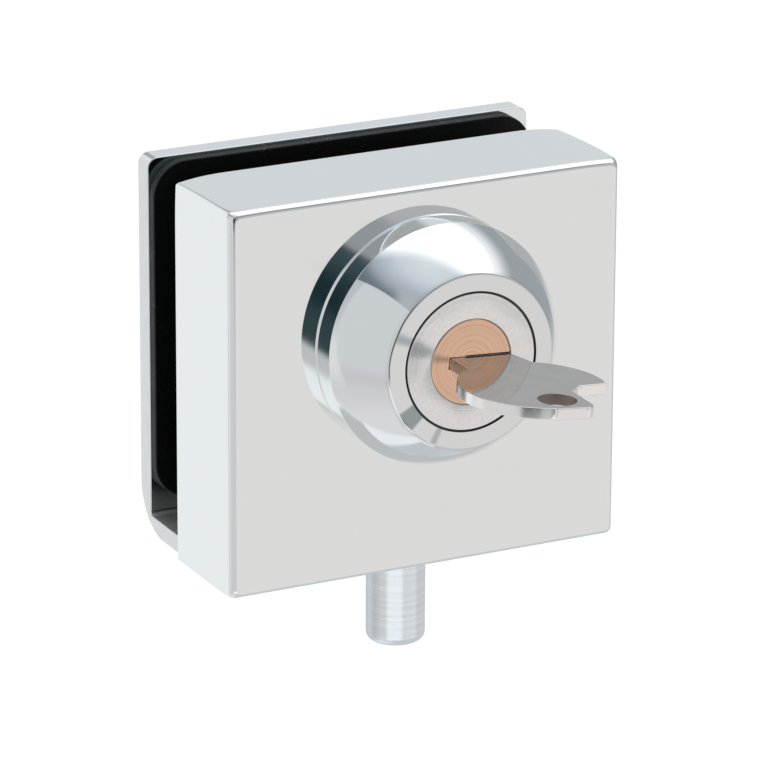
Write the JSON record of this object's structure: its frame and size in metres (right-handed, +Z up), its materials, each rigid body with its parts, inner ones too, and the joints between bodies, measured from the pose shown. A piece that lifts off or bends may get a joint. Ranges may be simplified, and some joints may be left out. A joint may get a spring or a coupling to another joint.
{
  "type": "showcase glass lock",
  "caption": "Cylinder lock for a glass showcase door: a padded plate grips the glass edge and a key drops a round bolt below a polished square cover.",
  "frame": {"origin": "middle of the front pad's face that the glass lies on, at half the cover's height", "axes": "+Y from the front pad through the glass to the rear leg, -Y toward the key, +Z up, away from the thrown bolt"},
  "size_m": [0.0584, 0.0701, 0.0684],
  "materials": {
    "polished_steel": "mirror polished plate",
    "satin_nickel": "fine turned, satin",
    "turned_brass": "fine turned, bright",
    "key_nickel": "flat polished",
    "brushed_bolt": "fine turning lines round the pin",
    "pad_rubber": "smooth matt",
    "dark_steel": "black oxide",
    "plated_steel": "bright plated",
    "cast_zinc": "as cast, matt"
  },
  "bodies": {
    "lock_body": {"bent_plate": "polished_steel", "rear_pad": "pad_rubber", "front_pad": "pad_rubber", "grub_screws": "dark_steel", "cover": "polished_steel", "lock_case": "cast_zinc", "back_plate": "plated_steel", "web_screws": "plated_steel", "back_plate_screws": "plated_steel", "spacer_ring": "polished_steel", "collar": "polished_steel", "collar_screws": "plated_steel", "barrel": "satin_nickel", "ring_nut": "plated_steel", "chamber_strip": "turned_brass", "driver_pin_1": "satin_nickel", "pin_spring_1": "plated_steel", "driver_pin_2": "satin_nickel", "pin_spring_2": "plated_steel", "driver_pin_3": "satin_nickel", "pin_spring_3": "plated_steel", "driver_pin_4": "satin_nickel", "pin_spring_4": "plated_steel", "driver_pin_5": "satin_nickel", "pin_spring_5": "plated_steel"},
    "plug": {"plug": "turned_brass", "plug_clip": "dark_steel", "pinion": "turned_brass", "pinion_screw": "plated_steel", "key_pin_1": "turned_brass", "key_pin_2": "turned_brass", "key_pin_3": "turned_brass", "key_pin_4": "turned_brass", "key_pin_5": "turned_brass"},
    "key": {"key": "key_nickel"},
    "bolt": {"bolt": "brushed_bolt", "bolt_rack": "plated_steel", "cross_pin": "dark_steel"}
  },
  "joints": [
    {"name": "key_turn", "type": "hinge", "parent": "lock_body", "child": "plug", "pos_m": [-0.002, -0.03, 0.00775], "axis": [0, -1, 0], "range_deg": [0, 180]},
    {"name": "key_withdraw", "type": "slide", "parent": "plug", "child": "key", "axis": [0, -1, 0], "range_m": [0, 0.02]},
    {"name": "bolt_slide", "type": "slide", "parent": "lock_body", "child": "bolt", "axis": [0, 0, 1], "range_m": [0, 0.01358]}
  ],
  "couplings": [
    {"joint": "bolt_slide", "follows": "key_turn", "m_per_rad": 0.00432}
  ]
}
